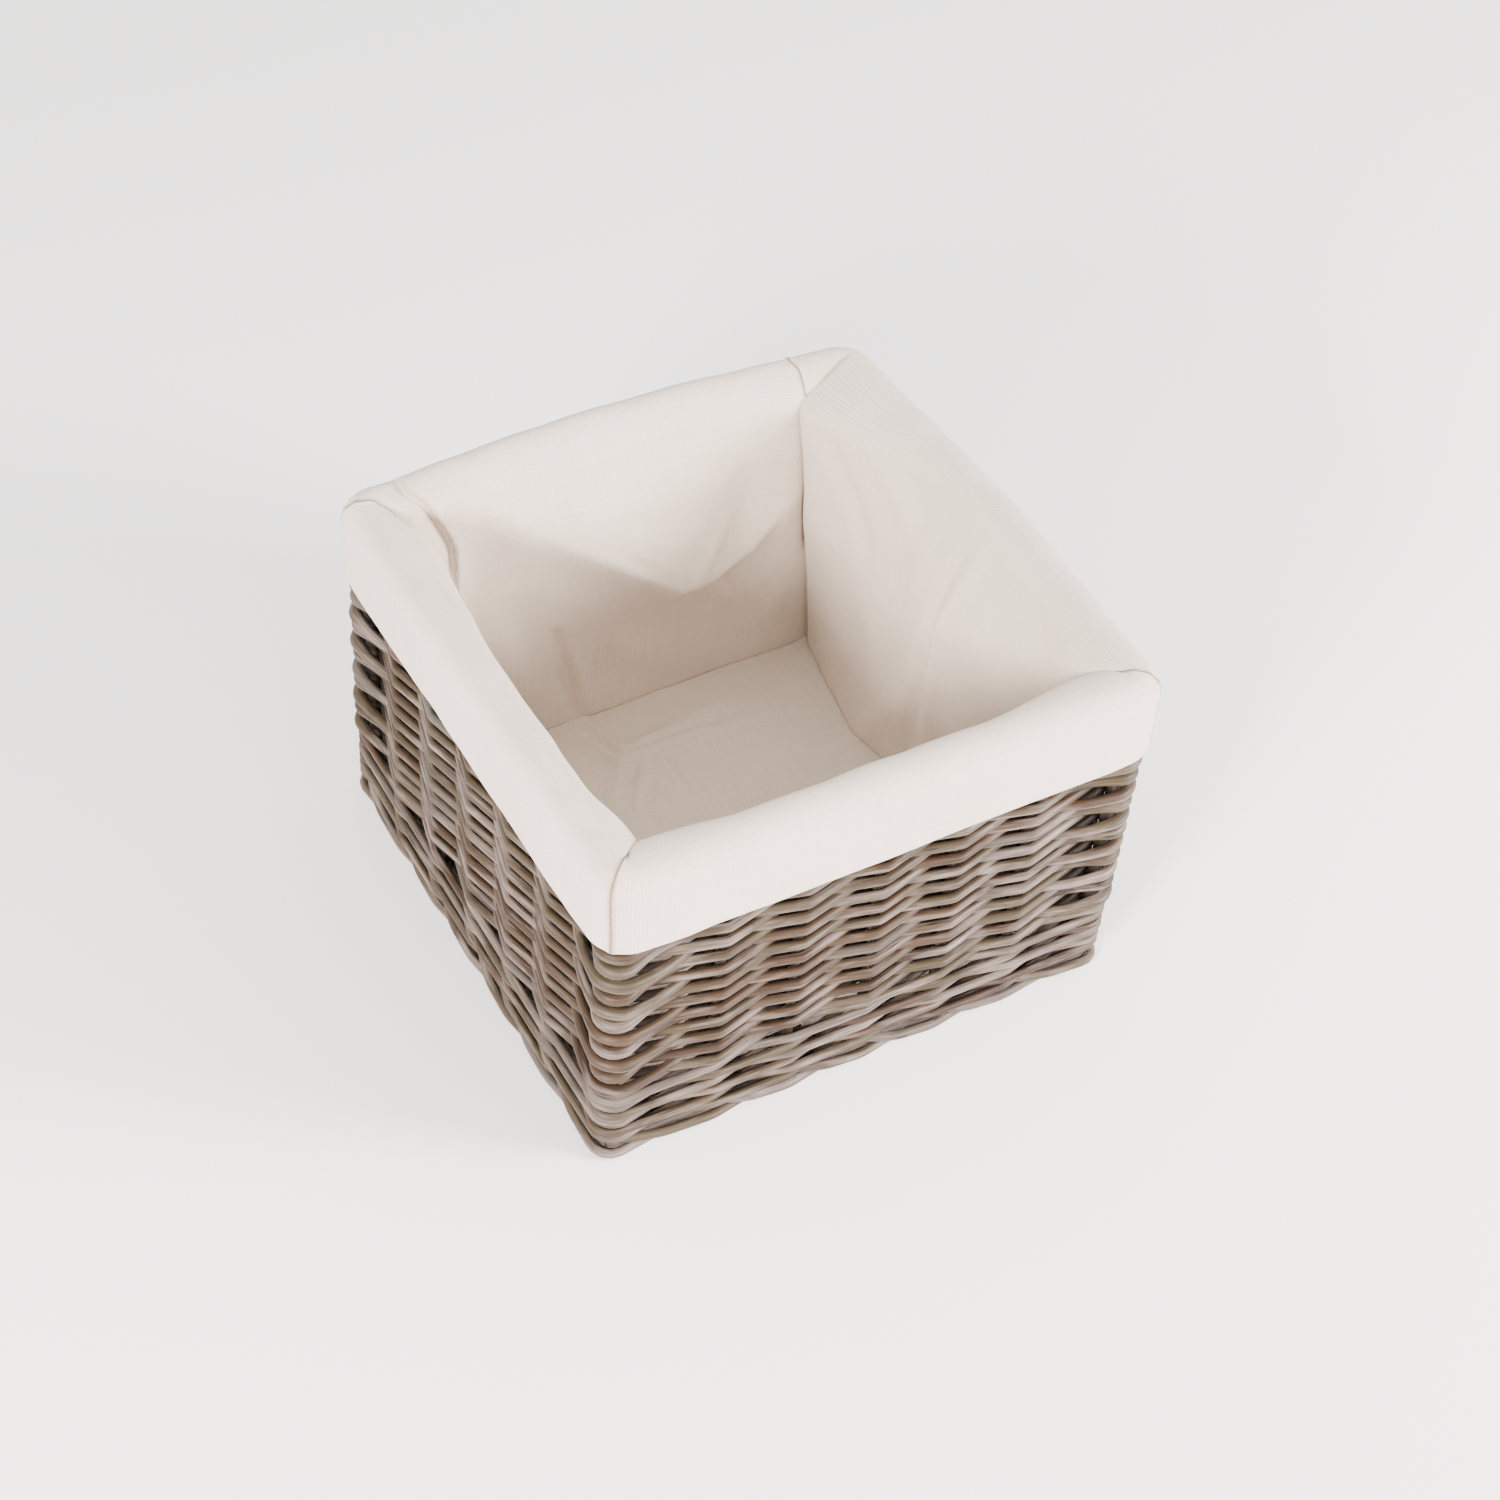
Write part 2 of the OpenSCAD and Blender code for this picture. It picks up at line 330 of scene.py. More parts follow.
def willow_material(name, upright=False):
    """Willow with a grey wash: each rod its own brown, washed pale in patches, and painted shade in the gaps.

    An upright stick keeps its CAD mesh, so its grain follows its height.
    """
    material, nodes, links, shader = empty_material(name)
    if upright:
        coordinates = nodes.new("ShaderNodeTexCoord").outputs["Object"]
        turned = nodes.new("ShaderNodeMapping")
        turned.inputs["Rotation"].default_value = (0, math.pi / 2, 0)
        links.new(coordinates, turned.inputs["Vector"])
        grain = turned.outputs["Vector"]
        tint = noise_node(nodes, links, grain, 9, 1)
    else:
        grain = attribute(nodes, "grain", "Vector")
        tint = attribute(nodes, "tint")
    brown = ramp_node(nodes, links, tint, [
        (0.0, (0.018, 0.009, 0.005)),
        (0.2, (0.050, 0.027, 0.014)),
        (0.5, (0.048, 0.034, 0.017)),
        (0.8, (0.062, 0.045, 0.028)),
        (1.0, (0.095, 0.078, 0.066)),
    ])
    patches = noise_node(nodes, links, stretched(nodes, links, grain, (20, 150, 150)), 1, 3)
    streaks = noise_node(nodes, links, stretched(nodes, links, grain, (32, 1400, 1400)), 1, 4, 0.7)
    washed = mixed(
        nodes, links, "MIX",
        ramp_node(nodes, links, patches, [(0.48, grey(0.0)), (0.70, grey(0.75))]),
        brown, (0.235, 0.188, 0.162),
    )
    streaked = mixed(
        nodes, links, "MULTIPLY", 0.85, washed,
        ramp_node(nodes, links, streaks, [(0.34, grey(0.35)), (0.62, grey(1.3))]),
    )
    knots = nodes.new("ShaderNodeTexVoronoi")
    knots.inputs["Scale"].default_value = 1
    links.new(stretched(nodes, links, grain, (22, 170, 170)), knots.inputs["Vector"])
    knotted = mixed(
        nodes, links, "MULTIPLY", 1.0, streaked,
        ramp_node(nodes, links, knots.outputs["Distance"], [(0.05, grey(0.22)), (0.13, grey(1.0))]),
    )
    # Painted shade: the colour is multiplied towards dark brown by the shade attribute on the rods, and by
    # 0.75 all over on the sticks, which show only in the gaps.
    shade = 0.75 if upright else attribute(nodes, "shade")
    colour = mixed(nodes, links, "MULTIPLY", shade, knotted, (0.15, 0.105, 0.075))
    links.new(colour, shader.inputs["Base Color"])
    roughness = ramp_node(nodes, links, streaks, [(0.3, grey(0.62)), (0.7, grey(0.40))])
    links.new(roughness, shader.inputs["Roughness"])
    shader.inputs["Specular IOR Level"].default_value = 0.28
    normal = bump_node(nodes, links, streaks, 0.0005, 0.5)
    links.new(bump_node(nodes, links, patches, 0.0008, 0.4, normal), shader.inputs["Normal"])
    return material


def cotton_material(name):
    """Plain-weave cotton: threads both ways, slubs, and a soft nap."""
    material, nodes, links, shader = empty_material(name)
    cloth = attribute(nodes, "cloth", "Vector")
    threads = []
    for direction in "XY":
        wave = nodes.new("ShaderNodeTexWave")
        wave.bands_direction = direction
        wave.inputs["Scale"].default_value = 260
        wave.inputs["Distortion"].default_value = 1.2
        wave.inputs["Detail"].default_value = 2
        wave.inputs["Detail Scale"].default_value = 0.3
        links.new(cloth, wave.inputs["Vector"])
        threads.append(wave.outputs["Fac"])
    weave = nodes.new("ShaderNodeMath")
    weave.operation = "MULTIPLY"
    links.new(threads[0], weave.inputs[0])
    links.new(threads[1], weave.inputs[1])
    weave = weave.outputs[0]
    slubs_along = noise_node(nodes, links, stretched(nodes, links, cloth, (14, 800, 14)), 1, 3)
    slubs_across = noise_node(nodes, links, stretched(nodes, links, cloth, (800, 14, 14)), 1, 3)
    slubs = mixed(nodes, links, "MULTIPLY", 1.0, slubs_across, slubs_along)
    cloudy = noise_node(nodes, links, cloth, 8, 3)
    tone = mixed(
        nodes, links, "MIX",
        ramp_node(nodes, links, cloudy, [(0.35, grey(0.0)), (0.7, grey(1.0))]),
        (0.790, 0.684, 0.582), (0.728, 0.622, 0.510),
    )
    tone = mixed(
        nodes, links, "MULTIPLY", 0.6, tone,
        ramp_node(nodes, links, slubs, [(0.12, grey(0.86)), (0.38, grey(1.02))]),
    )
    tone = mixed(
        nodes, links, "MULTIPLY", 1.0, tone,
        ramp_node(nodes, links, weave, [(0.0, grey(0.78)), (0.5, grey(1.05))]),
    )
    # Painted shade: the colour darkens to brown along the seams, and in a painted shadow line under the
    # pleat.
    links.new(
        mixed(nodes, links, "MULTIPLY", attribute(nodes, "seam_shade"), tone, (0.44, 0.34, 0.26)),
        shader.inputs["Base Color"],
    )
    shader.inputs["Roughness"].default_value = 0.92
    shader.inputs["Specular IOR Level"].default_value = 0.2
    shader.inputs["Sheen Weight"].default_value = 0.2
    normal = bump_node(nodes, links, weave, 0.0004, 0.6)
    links.new(bump_node(nodes, links, slubs, 0.0003, 0.5, normal), shader.inputs["Normal"])
    return material


def plain_floor_material():
    material, _, _, shader = empty_material("pale_floor")
    shader.inputs["Base Color"].default_value = (0.95, 0.95, 0.95, 1)
    shader.inputs["Roughness"].default_value = 0.9
    return material


# ---- Willow: the woven sides and the wale -------------------------------------------------------

# The distance from the stake line to the middle of a rod that passes behind a corner post.
POST_INSET = math.sqrt(2) * (STAKE_LINE[0] - middle("corner_post_back_right").x)
BEHIND_POST = POST_INSET - (math.sqrt(2) - 1) * CORNER_R + POST_R + ROD_R + GAP
# How far the looser rows stand off beside a corner, how far the tighter rows sink in, and how far
# from the corner both reach.
LOOSE, TIGHT, BOW_REACH = 0.0028, -0.0034, 0.052
# A rod spreads a little where it bends round a corner post. Under the cuff it is pressed thinner
# and further in instead.
CORNER_SWELL, CORNER_SWELL_REACH = 0.36, 0.017
CORNER_SQUEEZE, CORNER_PRESS = -0.32, 0.0015
# Above this height the cuff lies against the rods, and every row is tight.
BOW_TOP = HEM_LOW - 0.012
# How long a rod's tapering end is, the share of its thickness that it loses, and how far it lifts.
TIP, TIP_TAPER, TIP_LIFT = 0.014, 0.42, 0.0011
# How much rods differ in thickness, how much each one varies, and how far it wanders up and down.
ROD_SPREAD, ROD_UNEVEN, ROD_WANDER = 0.07, 0.05, 0.0005
PACKING_R = 0.0026


def is_outside(row, upright, pattern):
    return (row - upright) % pattern != 0


def split_upright(side, row, pattern, random):
    """The upright that hides where two rods of one row meet, near the middle of a side."""
    inside = [step for step in (2, 3, 4) if not is_outside(row, step, pattern)]
    return side * SPACES + inside[random.integers(len(inside))]


def rod_turns(row, first, last, pattern, offset, slant):
    """A rod's turns from one upright to another: places along, distances out, and rises."""
    turns = []
    for upright in range(first, last + 1):
        place = upright_place(upright)
        step = upright % SPACES
        before = (row - upright) % pattern
        rise = slant * (before / pattern - 0.5) if before else 0.0
        if not is_outside(row, upright, pattern):
            turns.append((place, -offset if step else -BEHIND_POST, rise))
        elif step:
            turns.append((place, offset, rise))
        else:
            turns += [(place + side * CORNER_R, offset - 0.0007, rise) for side in (-1, 0, 1)]
    (a, _, _), (b, _, _) = turns[0], turns[-1]
    turns.insert(0, (a - TIP, -offset - 0.0004, 0.0))
    turns.append((b + TIP, -offset - 0.0004, 0.0))
    return np.array(turns)


def woven_rod(rods, row, first, last, pattern, offset, z, rod_r, slant, seed):
    """One rod, round one corner, with its own thickness, tint and wander."""
    random = np.random.default_rng(seed)
    corner = round((first + last) / 2 / SPACES) % 4
    turns = rod_turns(row, first, last, pattern, offset, slant)
    fine = np.arange(turns[0, 0], turns[-1, 0], FINE_STEP)
    window = np.hanning(round(2 * KNEE / FINE_STEP) + 1)
    out, rise = smoothed(fine, turns, window / window.sum())
    place = np.linspace(fine[0], fine[-1], round((fine[-1] - fine[0]) / STEP))
    out, rise = np.interp(place, fine, out), np.interp(place, fine, rise)

    away = np.abs(corner_distance(place, corner))
    if pattern == PLAIN_WEAVE and is_outside(row, 0, pattern) and z < BOW_TOP:
        bow = LOOSE if row % 4 == 1 else TIGHT
        out = out + bow * random.uniform(0.75, 1.1) * np.sin(math.pi * np.clip(away / BOW_REACH, 0, 1)) ** 1.2

    to_end = np.minimum(place - place[0], place[-1] - place)
    tip = 1 - soft_step(to_end, 0.002, 1.6 * TIP)
    uneven = ROD_SPREAD * random.uniform(-1, 1) + ROD_UNEVEN * line_noise(seed + 1, place, 0.07)
    radius = rod_r * (1 + uneven) * (1 - TIP_TAPER * tip)
    if pattern == PLAIN_WEAVE and is_outside(row, 0, pattern):
        at_corner = np.exp(-(away / CORNER_SWELL_REACH) ** 2)
        under_cuff = z + 1.4 * rod_r > HEM_LOW
        radius = radius * (1 + (CORNER_SQUEEZE if under_cuff else CORNER_SWELL) * at_corner)
        out = out - (CORNER_PRESS if under_cuff else 0) * at_corner
    leaning = np.where(place < place.mean(), 1, -1)
    height = z + rise + ROD_WANDER * line_noise(seed + 2, place, 0.05) + TIP_LIFT * leaning * tip
    # Painted shade darkens the rod where it passes inside the uprights.
    rods.add(ring_point(place, out, height), radius, seed, soft_step(-out, -0.1 * offset, offset))


def woven_band(name, slot, material, nodes, z, top, rows, pattern, rod_r, slant, seed):
    """Every row of a band, as one piece for each corner that its rods go round."""
    pitch = (top - z) / rows
    offset = STAKE_R + rod_r + GAP
    bands = [Rods() for _ in CORNERS]
    for row in range(rows):
        random = np.random.default_rng(seed + row)
        splits = [split_upright(side, row, pattern, random) for side in range(4)]
        for corner in range(4):
            before = splits[corner - 1] - (0 if corner else 4 * SPACES)
            woven_rod(
                bands[corner], row, before, splits[corner], pattern, offset,
                z + (row + 0.5) * pitch, rod_r, slant, (seed + row) * 10 + corner,
            )
    for corner, rods in enumerate(bands):
        # A thin stick packs the corner behind the post. It carries painted shade.
        post = middle(f"corner_post_{CORNERS[corner]}")
        inward = (POST_R + PACKING_R) / math.sqrt(2)
        x, y = (value - math.copysign(inward, value) for value in (post.x, post.y))
        rods.add([(x, y, z), (x, y, top)], PACKING_R, seed + 90 + corner, 0.8)
        sides = (SIDES[corner - 1], SIDES[corner])
        rods.piece(f"{name}_{CORNERS[corner]}", slot, material, *(f"{nodes}_{side}" for side in sides))


# ---- Willow: borders ----------------------------------------------------------------------------

FOOT_ROD_R = 0.0030
# The rods that fill the foot: distance out and height.
FOOT_FILLING = ((-0.0061, 0.0030), (-0.0061, 0.0084), (0.0005, 0.0088), (0.0, 0.0034))
FOOT_FILLING_R = 0.0026
# A foot stroke: uprights passed, distance out and height, in millimetres.
FOOT_STROKE = np.array([
    (-0.1, -3.0, 13.0), (0.25, 3.6, 9.8), (0.5, 6.1, 7.2), (1.0, 6.1, 3.7),
    (1.5, 1.6, 3.0), (2.0, -3.6, 4.6), (2.25, -5.6, 5.2),
])
BORDER_ROD_R = 0.0032
BORDER_UPRIGHTS = 5


def stroke_line(first, passed, out, z):
    """A stroke that starts at upright first: how many uprights it has passed, out, and height."""
    uprights = np.arange(first - 1, first + 8)
    places = np.interp(first + passed, uprights, [upright_place(u) for u in uprights])
    return ring_point(places, out, z)


def make_foot(material):
    passed = np.linspace(FOOT_STROKE[0, 0], FOOT_STROKE[-1, 0], 42)
    window = np.hanning(7)[1:-1] / np.hanning(7).sum()
    out, z = smoothed(passed, FOOT_STROKE, window)
    for side, name in enumerate(SIDES):
        rods = Rods()
        for step in range(SPACES):
            first = side * SPACES + step
            random = np.random.default_rng(700 + first)
            radius = FOOT_ROD_R * random.uniform(0.94, 1.02) * (1 - 0.12 * passed / 2)
            line = stroke_line(first, passed, out / 1000, z / 1000)
            # Painted shade darkens each stroke where it turns in behind the uprights.
            shade = 0.6 * soft_step(passed, 1.5, 2.2)
            rods.add(line, radius, 700 + first, shade, random.uniform(0.6, 1.0))
        # Rods lie along the inside, where the base is woven on to the foot, and under the strokes. They carry
        # painted shade.
        places = START[side] + np.linspace(0, 2 * HALF[side], 110)
        for out_by, height in FOOT_FILLING:
            rods.add(ring_point(places, out_by, height), FOOT_FILLING_R, 760 + side, 0.5)
        rods.piece(f"foot_{name}", "willow_border", material, f"foot_border_{name}")


def make_top_border(material):
    """Each stroke rolls once round the border on its way past five uprights."""
    passed = np.linspace(0, BORDER_UPRIGHTS, 90)
    turn = 2 * math.pi * passed / BORDER_UPRIGHTS - math.pi / 2
    reach = BORDER_R - BORDER_ROD_R
    for side, name in enumerate(SIDES):
        rods = Rods()
        for step in range(SPACES):
            first = side * SPACES + step
            line = stroke_line(first, passed, -reach * np.cos(turn), BORDER_MIDDLE + reach * np.sin(turn))
            # The border rods carry a little painted shade all over.
            rods.add(line, BORDER_ROD_R, 800 + first, 0.15)
        rods.piece(f"rolled_border_{name}", "willow_border", material, f"top_border_{name}")


# ---- Willow: the base and the sticks ------------------------------------------------------------

BASE_STICKS = 7


def make_base(material):
    low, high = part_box("base_weave")
    sticks_low, sticks_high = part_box("base_sticks")
    stick_r = (sticks_high.z - sticks_low.z) / 2
    pitch = (sticks_high.x - sticks_low.x - 2 * stick_r) / (BASE_STICKS - 1)
    rod_r = ((high.z - low.z) / 2 - stick_r) / 2
    wave = stick_r + rod_r
    rows = round((high.y - low.y) / (2.1 * rod_r))
    crossings = [sticks_low.x + stick_r + i * pitch for i in range(BASE_STICKS)]
    turns = np.array([low.x, *crossings, high.x])
    x = np.linspace(low.x, high.x, 90)
    passed = np.interp(x, turns, np.arange(len(turns)))
    rods = Rods(8)
    for row in range(rows):
        z = middle("base_weave").z + wave * np.cos(math.pi * (passed + row))
        y = np.full_like(x, low.y + (row + 0.5) * (high.y - low.y) / rows)
        rods.add(np.column_stack([x, y, z]), rod_r, 900 + row)
    rods.piece("base_rods", "willow_rod", material, "base_weave")


def finish_sticks(material):
    nodes = ["base_sticks"]
    nodes += [f"side_stakes_{side}" for side in SIDES]
    nodes += [f"corner_post_{corner}" for corner in CORNERS]
    for node in nodes:
        mesh = bpy.data.objects[node].data
        mesh.materials.clear()
        mesh.materials.append(material)


# ---- Cotton -------------------------------------------------------------------------------------

CLOTH = 0.0012
CLOTH_CORNER_R = 0.010
# How far out from the stake line the middle of the cloth hangs, outside and inside the wicker.
CUFF_R = COTTON_OUT - CLOTH / 2
INNER_R = -(COTTON_IN + CLOTH / 2)
# How far the turned-up hem lies inside the cuff, and how deep the seams sit.
TURN_UP = 0.0016
SEAM_DEPTH = 0.0009
# How far a panel's first columns stand from its seam, and how many share out the width between.
FINE_COLUMNS = np.array([0, 0.8, 1.6, 2.5, 3.6, 5.0, 6.6, 8.4, 10.4]) / 1000
COLUMNS = 190
# The V-shaped fold in the back side: points (along, height) on its edge, and the slope of the
# cloth above it, which leans in from the rim.
FOLD_EDGE = np.array([
    (-0.150, 0.178), (-0.126, 0.156), (-0.092, 0.131), (-0.060, 0.123), (-0.033, 0.124), (0.128, 0.236),
])
FOLD_SLOPE = 0.27
# The part of the cloth that falls back to the right above the fold: its corner, a point on each
# of its two edges, and how steeply it falls back.
FACET_CORNER, FACET_TOP, FACET_LOW = (0.012, 0.186), (-0.112, 0.226), (-0.033, 0.124)
FACET_SLOPE = 0.17


def profile():
    """The lining's section, from the turned-up hem over the rim down to the floor seam.

    Its columns: distance out, height, how far the inside folds act, how far the rim's bow
    acts, and the length of cloth so far. The second value is that length at the top of the rim.
    """
    low, bend = HEM_LOW + CLOTH, TURN_UP / 2
    turn_up = [(CUFF_R - TURN_UP, z) for z in np.linspace(HEM_LOW + HEM_HEIGHT, low, 5)]
    angles = np.linspace(math.pi, 2 * math.pi, 6)[1:-1]
    edge = [(CUFF_R - bend + bend * math.cos(a), low + bend * math.sin(a)) for a in angles]
    leg = [(CUFF_R, z) for z in np.linspace(low, BORDER_MIDDLE, 18)]
    angles = np.linspace(0, math.pi, 20)[1:-1]
    middle_out, radius = (CUFF_R + INNER_R) / 2, (CUFF_R - INNER_R) / 2
    rim = [(middle_out + radius * math.cos(a), BORDER_MIDDLE + radius * math.sin(a)) for a in angles]
    wall = [(INNER_R, z) for z in np.linspace(BORDER_MIDDLE, FLOOR_TOP + 0.0004, 86)]
    points = np.array(turn_up + edge + leg + rim + wall)
    length = np.concatenate([[0], np.cumsum(np.linalg.norm(np.diff(points, axis=0), axis=1))])
    rim_start = length[len(turn_up + edge + leg)]
    rim_end = length[len(turn_up + edge + leg + rim)]
    crest = (rim_start + rim_end) / 2
    inside = soft_step(length, crest - 0.002, rim_end + 0.004)
    before, after = soft_step(length, -0.02, crest), 1 - soft_step(length, crest, crest + 0.06)
    bow = np.where(length < crest, before, after)
    return np.column_stack([points, inside, bow, length]), crest


SECTION, CREST = profile()
LENGTH = SECTION[:, 4]


def soft_lower(a, b, softness):
    """The lower of two values, with the change from one to the other rounded."""
    part = np.clip(0.5 + 0.5 * (b - a) / softness, 0, 1)
    return b + (a - b) * part - softness * part * (1 - part)


def beyond_line(along, z, start, end):
    """How far each point lies to the left of the line from start to end."""
    step = (end[0] - start[0], end[1] - start[1])
    return (step[0] * (z - start[1]) - step[1] * (along - start[0])) / math.hypot(*step)


def back_fold(along, z):
    """The cloth slopes in from the rim to a V-shaped fold, and falls back below it."""
    def above(height):
        facet = soft_lower(
            beyond_line(along, height, FACET_CORNER, FACET_TOP),
            beyond_line(along, height, FACET_LOW, FACET_CORNER),
            0.006,
        )
        facet = -soft_lower(-facet, 0, 0.006)
        return FOLD_SLOPE * (BORDER_MIDDLE + CUFF_R - height) - FACET_SLOPE * facet

    fold_z = np.interp(along, FOLD_EDGE[:, 0], FOLD_EDGE[:, 1])
    part = np.clip((z - FLOOR_TOP) / (fold_z - FLOOR_TOP), 0, 1.3)
    return np.maximum(soft_lower(above(z), np.maximum(above(fold_z), 0) * part ** 2.6, 0.0020), 0)


# Where the lining spans a corner: side, corner, how far in at the rim and at the floor, how far
# from the corner it stands out most, and how far it reaches.
SPANS = (
    (FRONT, FRONT_LEFT, 0.007, 0.003, 0.014, 0.080),
    (LEFT, FRONT_LEFT, 0.007, 0.003, 0.016, 0.070),
    (FRONT, FRONT_RIGHT, 0.010, 0.003, 0.013, 0.095),
    (RIGHT, FRONT_RIGHT, 0.008, 0.002, 0.020, 0.070),
    (RIGHT, BACK_RIGHT, 0.034, 0.004, 0.014, 0.130),
    (BACK, BACK_RIGHT, 0.008, 0.001, 0.040, 0.085),
    (BACK, BACK_LEFT, 0.006, 0.002, 0.020, 0.070),
    (LEFT, BACK_LEFT, 0.009, 0.004, 0.034, 0.150),
)
# Soft creases on the inside of each side, from one point (along, height) to another, with their
# width and how far in they stand. A crease below zero is a valley.
CREASES = (
    (BACK, (0.105, 0.150), (0.060, 0.040), 0.012, 0.0025),
    (BACK, (0.125, 0.190), (0.110, 0.020), 0.010, 0.0030),
    (BACK, (0.010, 0.075), (-0.060, 0.030), 0.014, 0.0022),
    (BACK, (-0.075, 0.100), (-0.120, 0.050), 0.010, 0.0025),
    (BACK, (0.050, 0.205), (-0.020, 0.185), 0.009, 0.0016),
    (BACK, (0.047, 0.095), (0.030, 0.020), 0.005, -0.0058),
    (BACK, (0.033, 0.075), (0.021, 0.024), 0.005, 0.0036),
    (BACK, (0.010, 0.165), (-0.028, 0.130), 0.004, -0.0016),
    (BACK, (-0.004, 0.172), (-0.040, 0.150), 0.004, 0.0014),
    (BACK, (-0.045, 0.128), (-0.075, 0.160), 0.005, 0.0018),
    (BACK, (-0.070, 0.115), (-0.105, 0.060), 0.006, -0.0034),
    (BACK, (-0.128, 0.236), (-0.147, 0.105), 0.006, -0.0075),
    (RIGHT, (0.120, 0.215), (0.085, 0.150), 0.008, -0.0045),
    (RIGHT, (0.095, 0.225), (0.045, 0.190), 0.010, 0.0022),
    (RIGHT, (-0.006, 0.205), (0.006, 0.040), 0.006, -0.0070),
    (RIGHT, (-0.021, 0.210), (-0.010, 0.040), 0.006, 0.0045),
    (RIGHT, (-0.030, 0.170), (-0.120, 0.215), 0.014, 0.0030),
    (RIGHT, (-0.050, 0.120), (-0.110, 0.060), 0.013, -0.0028),
    (RIGHT, (0.080, 0.110), (0.040, 0.050), 0.012, 0.0018),
    (FRONT, (-0.110, 0.200), (-0.020, 0.120), 0.014, 0.0030),
    (FRONT, (0.120, 0.190), (0.050, 0.080), 0.013, -0.0030),
    (FRONT, (-0.040, 0.060), (0.060, 0.045), 0.010, 0.0022),
    (LEFT, (-0.110, 0.200), (-0.050, 0.090), 0.013, 0.0030),
    (LEFT, (0.100, 0.210), (0.030, 0.130), 0.014, -0.0030),
    (LEFT, (0.020, 0.080), (0.110, 0.045), 0.011, 0.0024),
)
# The ridge in the right side: where it stands, how far it leans back at the floor, and how wide
# and how far in it stands.
RIDGE_PLACE, RIDGE_LEAN, RIDGE_REACH, RIDGE_DEPTH = -0.022, 0.080, 0.145, 0.023


def side_and_along(place):
    """Which side each place on the ring is on, and how far it is past the middle of that side."""
    side = np.clip(np.searchsorted(START, np.mod(place, RING), side="right") - 1, 0, 3)
    return side, np.mod(place, RING) - START[side] - HALF[side]


def inward(place, z):
    """How far the inside of the lining stands in from its plain section."""
    side, along = side_and_along(place)
    up = np.clip((z - FLOOR_TOP) / (BORDER_MIDDLE - FLOOR_TOP), 0, 1.1)
    depth = np.zeros(np.broadcast(place, z).shape)
    for own_side, corner, at_rim, at_floor, peak, reach in SPANS:
        near = np.abs(corner_distance(place, corner))
        swell = soft_step(near, 0, peak) * (1 - soft_step(near, peak, reach))
        depth += np.where(side == own_side, swell * (at_floor + (at_rim - at_floor) * up), 0)
    back = back_fold(along, z) + 0.002 * hill(along, 0.03, 0.12) * (1 - up)
    # The right side stands in along an upright ridge, which leans towards the back at the floor.
    ridge = RIDGE_PLACE + RIDGE_LEAN * (1 - up) ** 2
    tent = np.clip(1 - np.hypot(along - ridge, 0.005) / RIDGE_REACH, 0, 1) ** 1.6
    right = RIDGE_DEPTH * tent * (1 - soft_step(z, 0.16, 0.24))
    # The front and left sides stand in softly round their middles.
    front = 0.003 + 0.006 * hill(along, 0.02, 0.14) * hill(z, 0.10, 0.12)
    left = 0.003 + 0.007 * hill(along, -0.02, 0.13) * hill(z, 0.12, 0.13)
    for own_side, start, end, width, height in CREASES:
        depth += np.where(side == own_side, height * segment_hill(along, z, start, end, width), 0)
    depth += np.choose(side, (front, right, back, left)) * soft_step(HALF[side] - np.abs(along), 0, 0.05)
    ripple = 0.0018 * cloth_noise(41, place, z, 0.075, 0.09) + 0.0009 * cloth_noise(42, place, z, 0.032, 0.05)
    return np.maximum(depth + (ripple + 0.0012) * soft_step(HALF[side] - np.abs(along), 0, 0.02), 0)


def segment_hill(x, y, start, end, width):
    """1 on the segment from start to end, fading out over the width and towards its two ends."""
    step = (end[0] - start[0], end[1] - start[1])
    long = math.hypot(*step)
    part = ((x - start[0]) * step[0] + (y - start[1]) * step[1]) / long
    off = ((x - start[0]) * step[1] - (y - start[1]) * step[0]) / long
    beyond = np.maximum(np.abs(part - long / 2) - long / 2, 0)
    along = 1 - 0.6 * np.abs(part - long / 2) / (long / 2 + width)
    return np.clip(along, 0, 1) * np.exp(-(off ** 2 + 0.6 * beyond ** 2) / width ** 2)


def outward(place, length):
    """How far the cuff stands out from its plain section, and how far up."""
    side, along = side_and_along(place)
    to_corner = HALF[side] - np.abs(along)
    hem = 1 - soft_step(length, 0.008, 0.045)
    out = 0.0007 * cloth_noise(51, place, length, 0.06, 0.05)
    out += 0.0010 * hem * (soft_step(to_corner, 0.0, 0.03) - 0.4)
    up = 0.0011 * cloth_noise(52, place, 0 * length, 0.07, 1.0) * hem
    return out, up


# How far the middle of each side's rim stands out and up.
RIM_BOW = {FRONT: (0.001, 0.001), RIGHT: (0.005, 0.003), BACK: (0.005, 0.004), LEFT: (0.001, 0.001)}


def rim_bow(place):
    side, along = side_and_along(place)
    share = np.cos(0.5 * math.pi * along / HALF[side]) ** 1.2
    bows = np.array([RIM_BOW[n] for n in range(4)])[side]
    return bows[..., 0] * share, bows[..., 1] * share


# How far each corner seam leans along the ring where it goes over the rim.
SEAM_LEANS = {FRONT_LEFT: -0.001, FRONT_RIGHT: 0.002, BACK_RIGHT: 0.042, BACK_LEFT: 0.005}


def seam_shift(corner, length):
    """How far a corner seam leans along the ring from its corner, at each length of cloth."""
    inner = 1 - np.clip((length - CREST) / 0.12, 0, 1)
    return SEAM_LEANS[corner] * np.where(length < CREST, soft_step(length, 0, CREST), inner ** 0.9)


def cloth_points(place):
    """The middle of the cloth at each place along the ring and each row of the section."""
    out, z, inside, bow, length = (SECTION[:, k, None] for k in range(5))
    bow_out, bow_up = rim_bow(place)
    cuff_out, cuff_up = outward(place, length)
    side, _ = side_and_along(place)
    points = ring_point(
        place, out + bow * bow_out + (1 - inside) * cuff_out, z + bow * bow_up + (1 - inside) * cuff_up,
        CLOTH_CORNER_R, tightest=0.004,
    )
    points[..., :2] -= (inside * inward(place, z))[..., None] * OUTWARD[side]
    return points


